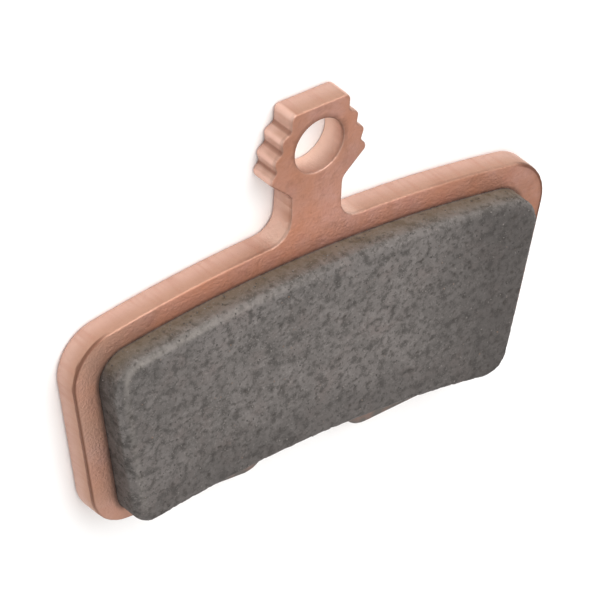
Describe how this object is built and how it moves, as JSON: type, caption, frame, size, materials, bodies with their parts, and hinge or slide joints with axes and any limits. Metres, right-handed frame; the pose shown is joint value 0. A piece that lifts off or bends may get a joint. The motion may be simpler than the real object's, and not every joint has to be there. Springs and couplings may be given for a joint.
{
  "type": "bicycle disc brake pad",
  "caption": "Flat brake pad: a copper-plated steel plate with a toothed tab and pin hole, carrying a sintered friction lining keyed into holes in the plate.",
  "frame": {"origin": "on the axis of the pin hole, level with the back of the plate", "axes": "+X along the pad, +Y towards the tab, +Z from the plate's back to the lining's face"},
  "size_m": [0.038, 0.0265, 0.004],
  "materials": {
    "copper_plated_steel": "satin copper plating with a mottled patina",
    "sintered_lining": "matte sintered metal, finely speckled and pitted"
  },
  "bodies": {
    "root": {"backing_plate": "copper_plated_steel", "friction_lining": "sintered_lining"}
  },
  "joints": []
}
